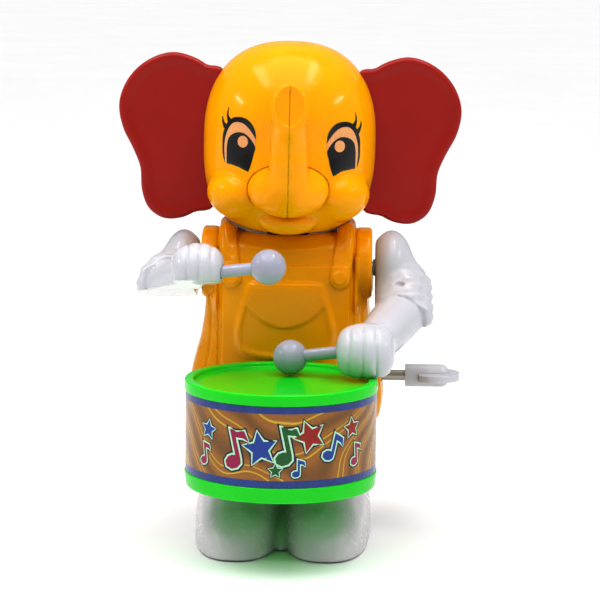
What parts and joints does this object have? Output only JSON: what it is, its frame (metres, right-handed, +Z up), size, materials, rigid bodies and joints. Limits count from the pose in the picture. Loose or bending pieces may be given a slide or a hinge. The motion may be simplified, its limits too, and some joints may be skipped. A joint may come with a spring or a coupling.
{
  "type": "clockwork drumming toy",
  "caption": "Standing clockwork toy animal with large ears that beats a printed drum with ball-ended sticks, wound by a key at its side.",
  "frame": {"origin": "on the floor, under the neck axis", "axes": "+Z up, the toy faces -Y, +X towards the winding key"},
  "size_m": [0.1204, 0.114, 0.1695],
  "materials": {
    "orange_plastic": "gloss moulded, slightly translucent",
    "yellow_plastic": "gloss moulded, slightly translucent",
    "red_plastic": "satin moulded",
    "white_plastic": "gloss moulded",
    "shoe_plastic": "gloss milky moulded",
    "green_plastic": "gloss moulded",
    "label_print": "printed film",
    "nylon": "natural moulded",
    "steel": "plated"
  },
  "bodies": {
    "figure": {"body_front_shell": "orange_plastic", "body_back_shell": "orange_plastic", "shell_screws": "steel", "right_arm_bush": "nylon", "left_arm_bush": "nylon", "neck_bush": "nylon", "right_leg_and_shoe": "shoe_plastic", "left_leg_and_shoe": "shoe_plastic", "base_plate": "shoe_plastic", "base_screws": "steel", "leg_screws": "steel", "drum_top_cap": "green_plastic", "drum_cylinder": "green_plastic", "drum_label": "label_print", "drum_bottom_cap": "green_plastic", "drum_bracket": "green_plastic", "drum_screws": "steel", "right_motor_plate": "steel", "left_motor_plate": "steel", "motor_pillars": "steel", "motor_screws": "steel"},
    "winder": {"key_handle": "white_plastic", "key_stem": "steel", "key_arbor": "steel", "great_wheel": "nylon", "ratchet_wheel": "steel", "mainspring": "steel"},
    "second_arbor": {"second_shaft": "steel", "second_pinion": "nylon", "second_wheel": "nylon"},
    "crank_train": {"crank_shaft": "steel", "crank_pinion": "nylon", "governor_drive_wheel": "nylon", "right_crank_disc": "nylon", "left_crank_disc": "nylon", "head_cam": "nylon"},
    "governor": {"governor_shaft": "steel", "governor_pinion": "nylon", "star_wheel": "nylon"},
    "pallet": {"pallet_arbor": "steel", "pallet_anchor": "nylon"},
    "right_drumming_arm": {"right_arm": "white_plastic", "right_drumstick": "white_plastic", "right_arm_shaft": "steel", "right_arm_lever": "steel"},
    "left_drumming_arm": {"left_arm": "white_plastic", "left_drumstick": "white_plastic", "left_arm_shaft": "steel", "left_arm_lever": "steel"},
    "head": {"head_front_shell": "yellow_plastic", "head_back_shell": "yellow_plastic", "head_screws": "steel", "right_ear": "red_plastic", "left_ear": "red_plastic", "right_trunk_half": "yellow_plastic", "left_trunk_half": "yellow_plastic", "neck_shaft": "steel", "neck_hub": "nylon", "head_turning_fork": "steel"}
  },
  "joints": [
    {"name": "key_turn", "type": "hinge", "parent": "figure", "child": "winder", "pos_m": [0, 0.003, 0.0524], "axis": [1, 0, 0], "continuous": true},
    {"name": "second_arbor_turn", "type": "hinge", "parent": "figure", "child": "second_arbor", "pos_m": [0, -0.00874, 0.05965], "axis": [1, 0, 0], "continuous": true},
    {"name": "crank_turn", "type": "hinge", "parent": "figure", "child": "crank_train", "pos_m": [0, 0, 0.066], "axis": [1, 0, 0], "continuous": true},
    {"name": "governor_turn", "type": "hinge", "parent": "figure", "child": "governor", "pos_m": [0, 0.00882, 0.0698], "axis": [1, 0, 0], "continuous": true},
    {"name": "pallet_rock", "type": "hinge", "parent": "figure", "child": "pallet", "pos_m": [0, 0.0095, 0.0775], "axis": [1, 0, 0], "range_deg": [-5, 5]},
    {"name": "right_arm_swing", "type": "hinge", "parent": "figure", "child": "right_drumming_arm", "pos_m": [0, 0, 0.091], "axis": [1, 0, 0], "range_deg": [0, 34]},
    {"name": "left_arm_swing", "type": "hinge", "parent": "figure", "child": "left_drumming_arm", "pos_m": [0, 0, 0.091], "axis": [1, 0, 0], "range_deg": [-34, 0]},
    {"name": "head_turn", "type": "hinge", "parent": "figure", "child": "head", "pos_m": [0, 0, 0.1034], "axis": [0, 0, 1], "range_deg": [-12, 12]}
  ],
  "couplings": [
    {"joint": "second_arbor_turn", "follows": "key_turn", "ratio": -3.6},
    {"joint": "crank_turn", "follows": "key_turn", "ratio": 7.2},
    {"joint": "governor_turn", "follows": "key_turn", "ratio": -21.6},
    {"joint": "left_arm_swing", "follows": "right_arm_swing", "ratio": -1}
  ]
}
